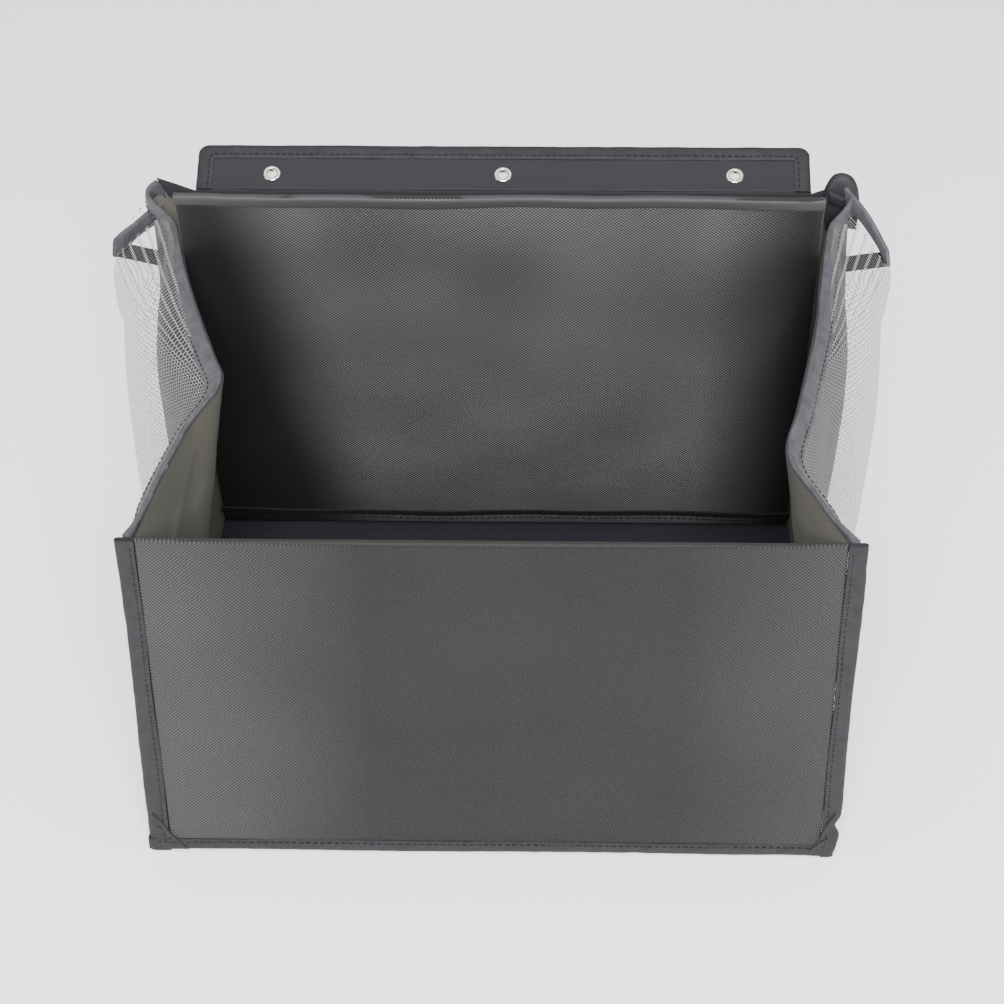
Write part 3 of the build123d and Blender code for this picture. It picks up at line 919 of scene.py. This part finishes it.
# %% [markdown]
# ## Soft sides
# Each side is one sheet of thin coated cloth, sewn to the back and to the front and loose at the top,
# so it bows out behind and folds in towards the front. A grid primitive is laid on the table's surface
# and given 1 mm of thickness. Its inner face takes the coated finish.

# %% Side cloth
def crosses(piece):
    """Bakes the piece's transform into its mesh."""
    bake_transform(piece)


for name, hand in HANDS:
    cloth, i, j = grid("side_cloth_" + name, 90, 64)
    s, t = i / 90, j / 64
    depth = 0.3 + (DEPTH - 0.6) * s
    top = top_of_side(depth)
    z = 0.7 + (top - 1.2) * t
    inward = side_in(name, depth, z)
    spots = placed(name, inward, depth, z)
    loose = np.sin(pi * s) ** 0.5 * np.sin(pi * np.clip(t * 0.97, 0, 1)) ** 0.5
    crumple = 1.3 * ripple(spots, 0.06, 80 + hand) + 0.6 * ripple(spots, 0.022, 84 + hand)
    slant = np.exp(-((((depth - 250) + (z - 200) * 0.9) / 7) ** 2)) * 1.8 * np.sin(pi * t)
    inward = inward + loose * (np.abs(crumple) + 0.2) + slant * loose
    write(cloth, placed(name, inward, depth, z))
    map_cloth(cloth, np.stack([s * 0.33, t * 0.27], -1))
    edit(cloth, outwards)
    if np.sign(sum(p.normal.x * p.area for p in cloth.data.polygons)) != hand:
        edit(cloth, lambda: bpy.ops.mesh.flip_normals())
    cloth.data.materials.append(side_outside)
    cloth.data.materials.append(side_inside)
    thicken(cloth, 0.001, inner=1, even=True)
    inside = [p.material_index for p in cloth.data.polygons]
    soften(cloth, 60)
    crosses(cloth)
    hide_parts(f"side_{name}_rear", f"side_{name}_front")
    print(cloth.name, len(inside), "faces,", sum(inside), "of them inside")

# %% [markdown]
# ## Net pockets
# The net is knitted with six-sided holes. One hexagon could be drawn in a transparent texture, but real
# holes look right from every side and in every light. A flat sheet of hexagons is copied out with two
# arrays, every face is inset, and the centres are deleted, which leaves the yarn. The sheet is then laid
# on the pocket's surface. The real holes are about 2.3 mm apart, and these are 2.7 mm apart to keep the
# mesh small. The net ends inside the tape of the pocket's mouth, so the yarn that would lie over that
# tape, as seen from in front and above, is cut away.

# %% Net pockets
def net_sheet(name, width, height, pitch=0.0027, yarn=0.00042):
    """A flat net in XY, from the origin, of hexagons with a flat width of pitch."""
    side = pitch / np.sqrt(3)
    alone()
    bpy.ops.mesh.primitive_circle_add(vertices=6, radius=side, fill_type="NGON")
    net = bpy.context.object
    net.name = name
    across, up = int(width / pitch) + 1, int(height / (3 * side)) + 1

    def second_row():
        bpy.ops.mesh.duplicate()
        bpy.ops.transform.translate(value=(pitch / 2, 1.5 * side, 0))

    edit(net, second_row)
    for count, offset in ((across, (pitch, 0, 0)), (up, (0, 3 * side, 0))):
        copies = net.modifiers.new("rows", "ARRAY")
        copies.use_relative_offset, copies.use_constant_offset = False, True
        copies.constant_offset_displace, copies.count = offset, count
        alone(net)
        bpy.ops.object.modifier_apply(modifier="rows")
    edit(
        net,
        lambda: bpy.ops.mesh.remove_doubles(threshold=pitch * 0.05),
        lambda: bpy.ops.mesh.inset(thickness=yarn / 2, use_individual=True, use_boundary=True),
        lambda: bpy.ops.mesh.delete(type="FACE"),
    )
    return net


# For each pocket's mouth: the standing corner, the loose point, and how far the tape arches between.
MOUTH = {
    -1: ((-221.0, y_at(12), 268.0), (-247.0, y_at(45), 261.5), 0.5),
    1: ((221.0, y_at(10), 281.0), (246.0, y_at(45), 257.0), 4.0),
}
FROM_FRONT = np.array([0, 0.77, -0.638])  # the way the crate is seen: level, then down


def mouth_way(hand):
    """The middle of the tape round a pocket's mouth, from the standing corner out to the loose point."""
    head, knee, arch = np.array(MOUTH[hand][0]), np.array(MOUTH[hand][1]), MOUTH[hand][2]
    knots = np.array([head, head + (knee - head) * 0.5 + (0, 0, arch), knee])
    chord = np.linspace(0, 1, 40)
    way = np.stack([through([0, 0.5, 1], knots[:, k], chord) for k in range(3)], -1) / 1000
    return way + np.array([-hand * 0.0015, -0.0035, 0.0029])


def cut_near(net, spots, way, near=0.0050, ahead_of=0.02):
    """Deletes the yarn that lies over a line, seen from in front and above."""
    apart = spots[:, None, :] - way[None]
    ahead = apart @ FROM_FRONT
    beside = np.sqrt(np.clip((apart**2).sum(2) - ahead**2, 0, None))
    over = (beside.min(1) < near) & (np.abs(ahead).min(1) < ahead_of)
    alone(net)
    net.data.vertices.foreach_set("select", over)
    for parts in (net.data.edges, net.data.polygons):
        parts.foreach_set("select", np.zeros(len(parts), dtype=bool))
    bpy.ops.object.mode_set(mode="EDIT")
    bpy.ops.mesh.delete(type="VERT")
    bpy.ops.object.mode_set(mode="OBJECT")


for name, hand in HANDS:
    net = net_sheet("net_" + name, 0.316, 0.268)
    flat = read(net)
    s = (flat[:, 0] - flat[:, 0].min()) / np.ptp(flat[:, 0])
    t = (flat[:, 1] - flat[:, 1].min()) / np.ptp(flat[:, 1])
    laid = net_point(name, 0.001 + s * 0.998, t)
    slack = (ripple(laid, 0.03, 90 + hand) - 0.6) * np.sin(pi * s) * np.sin(pi * t) ** 0.5
    laid[:, 0] += hand * 0.0007 * slack
    laid[:, 0] -= hand * 0.0006
    write(net, laid)
    map_cloth(net, flat[:, :2])
    edge = np.arange(4.0, 34.0, 5.0)
    corner = placed(name, side_in(name, edge, top_of_side(edge)), edge, top_of_side(edge) - 4)
    cut_near(net, laid, np.concatenate([mouth_way(hand), corner]))
    area = sum(p.area for p in net.data.polygons)
    hand_over(net, [net_yarn])
    crosses(net)
    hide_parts(f"net_{name}_rear", f"net_{name}_front")
    print(net.name, len(net.data.polygons), "yarn faces, area", round(area, 4))

# %% [markdown]
# ## Tapes on the sides
# A wide tape is folded over the top edge of each side and catches the net's edge with it. The net pulls
# its lower edge outwards, so it leans. The mouth of each pocket has its own tape, from the back corner
# out to a loose point and back to the seam.

# %% Side tapes
for name, hand in HANDS:
    depth = np.concatenate([np.arange(5.6, 40, 1.6), np.arange(40, DEPTH - 0.4, 2.2), [DEPTH - 0.4]])
    top = top_of_side(depth)
    lean_in = side_in(name, depth, top) - 0.6 - 6.0 * np.clip((depth - 292) / 24, 0, 1) ** 1.5
    line = placed(name, lean_in, depth, top + 0.8)
    lean_out = np.interp(depth, [22, 70, 285, DEPTH], [0, 7, 7, 2])
    down = placed(name, side_in(name, depth, top - 10) - 0.7 - lean_out, depth, top - 9.2)
    run = units(np.gradient(line, axis=0))
    out = units(np.cross(run, line - down))
    out = out * np.sign(out[:, :1] * hand)
    tape = folded_tape("side_tape_" + name, line, down, out, 0.0018, 0.0005, 100 + hand)
    hand_over(tape, [binding])
    crosses(tape)
    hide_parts(f"side_tape_{name}_rear", f"side_tape_{name}_front")
    for side, word in ((1, "outside"), (-1, "inside")):
        row = line + (down - line) * 0.76 + out * 0.0021 * side
        sewn = stitches(f"side_stitch_{name}_{word}", row[2:-2], out[len(out) // 2] * side, None)
        crosses(sewn)

    way = mouth_way(hand)
    knee, foot = way[-1] * 1000, np.array([hand * 212.5, y_at(2.2), 221.0])
    across = units(np.array([[0.12 * hand, -0.35, -0.94]]) + 0 * way) * 0.0060
    out = units(np.cross(units(np.gradient(way, axis=0)), across))
    out = out * np.sign(out[:, :1] * hand)
    mouth = folded_tape("mouth_tape_" + name, way - across, way + across, out, 0.0016, 0.0006, 110 + hand)
    hand_over(mouth, [binding], f"side_{name}_back_half", ["mouth_tape_" + name])
    # The return band takes the black tape: painted shade where the tape lies in shadow behind the net.
    bends = np.array([knee + (hand * -0.5, 0, -1), knee + (foot - knee) * 0.4 + (hand * 1.5, 0, 0), foot])
    way = even(bends / 1000, 0.0018)
    across = units(np.array([[0, 0.5, 0.86]]) + 0 * way) * 0.0050
    out = units(np.cross(units(np.gradient(way, axis=0)), across))
    band = folded_tape("mouth_return_" + name, way - across, way + across, out, 0.0009, 0.0003, 120 + hand)
    hand_over(band, [shadow_tape], f"side_{name}_back_half")

    # A web of tape in the dark tone runs from the standing corner to the top of the back: painted shade for
    # the shaded corner it fills.
    near = np.array([hand * 221.0, y_at(7), 290.0]), np.array([hand * 214.0, y_at(8), 277.0])
    far = np.array([hand * 198.0, y_at(-3), 273.5]), np.array([hand * 199.0, y_at(-1), 265.0])
    high = even([near[0] / 1000, far[0] / 1000], 0.0015)
    low = high + np.linspace(near[1] - near[0], far[1] - far[0], len(high)) / 1000
    web = folded_tape("corner_web_" + name, high, low, TO_FRONT, 0.0012, 0.0005, 130 + hand)
    hand_over(web, [dark_binding], f"side_{name}_back_half")

# %% [markdown]
# At the right back corner the tape's end is rolled over and crumpled, and stands up as a rounded curl.

# %% Rolled tape end
turn = np.linspace(pi, 0, 34)
arch = points(216.5 + 12 * np.cos(turn), y_at(8), 271 + 25 * np.sin(turn) ** 0.7)
heel = points(217.5 + 9.5 * np.cos(turn), y_at(11), 256 + 3 * np.sin(turn))
curl = folded_tape("rolled_tape_end", arch, heel, TO_FRONT, 0.0040, 0.0014, 140)
hand_over(curl, [dark_binding], "side_right_back_half")
fold_a = line_between((208, y_at(14.5), 288), (227, y_at(14.5), 279), 0.0012)
fold_b = fold_a + np.array([0.0005, 0, -0.0078])
crease = folded_tape("rolled_tape_pleat", fold_a, fold_b, TO_FRONT, 0.0016, 0.0009, 143)
hand_over(crease, [dark_binding], "side_right_back_half")

# %% [markdown]
# ## Boards, floor and light
# The boards inside the panels stay as packed and get their own finish. The crate stands on a plain white
# floor in soft light: one wide lamp above and in front, a weaker one on each side, and a pale sky.

# %% Boards
for node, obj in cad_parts.items():
    if "board" in node:
        if not obj.material_slots:
            obj.data.materials.append(fibreboard)
        for place in obj.material_slots:
            place.material = fibreboard
print([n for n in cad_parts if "board" in n])

# %% Studio
alone()
bpy.ops.mesh.primitive_plane_add(size=8, location=(0, 0, -0.0006))
ground = bpy.context.object
ground.name = "studio_floor"
paint = speckled("matt white studio paint", "#ffffff", "#fbfbfb", 0.5, Roughness=0.9, Emission_Strength=0.6)
paint.node_tree.nodes["Principled BSDF"].inputs["Emission Color"].default_value = linear("#ffffff")
ground.data.materials.append(paint)

world = bpy.data.worlds.new("studio")
world.use_nodes = True
world.node_tree.nodes["Background"].inputs["Color"].default_value = linear("#ffffff")
world.node_tree.nodes["Background"].inputs["Strength"].default_value = 0.3
bpy.context.scene.world = world


def soft_lamp(name, place, aim, size, watts):
    """A square lamp of this size in metres, turned to its aim."""
    lamp = bpy.data.lights.new(name, "AREA")
    lamp.shape, lamp.size, lamp.energy = "SQUARE", size, watts
    obj = bpy.data.objects.new(name, lamp)
    turn = (Vector(aim) - Vector(place)).to_track_quat("-Z", "Y")
    obj.matrix_world = Matrix.Translation(place) @ turn.to_matrix().to_4x4()
    bpy.context.scene.collection.objects.link(obj)


soft_lamp("front", (0.1, -2.3, 2.2), (0, 0, 0.1), 1.3, 175)
soft_lamp("above", (0.0, -0.1, 2.2), (0, 0, 0.1), 1.8, 30)
soft_lamp("left", (-1.8, -0.7, 0.9), (0, 0, 0.15), 0.9, 9)
soft_lamp("right", (1.8, -0.7, 0.9), (0, 0, 0.15), 0.9, 9)
print("studio ready")
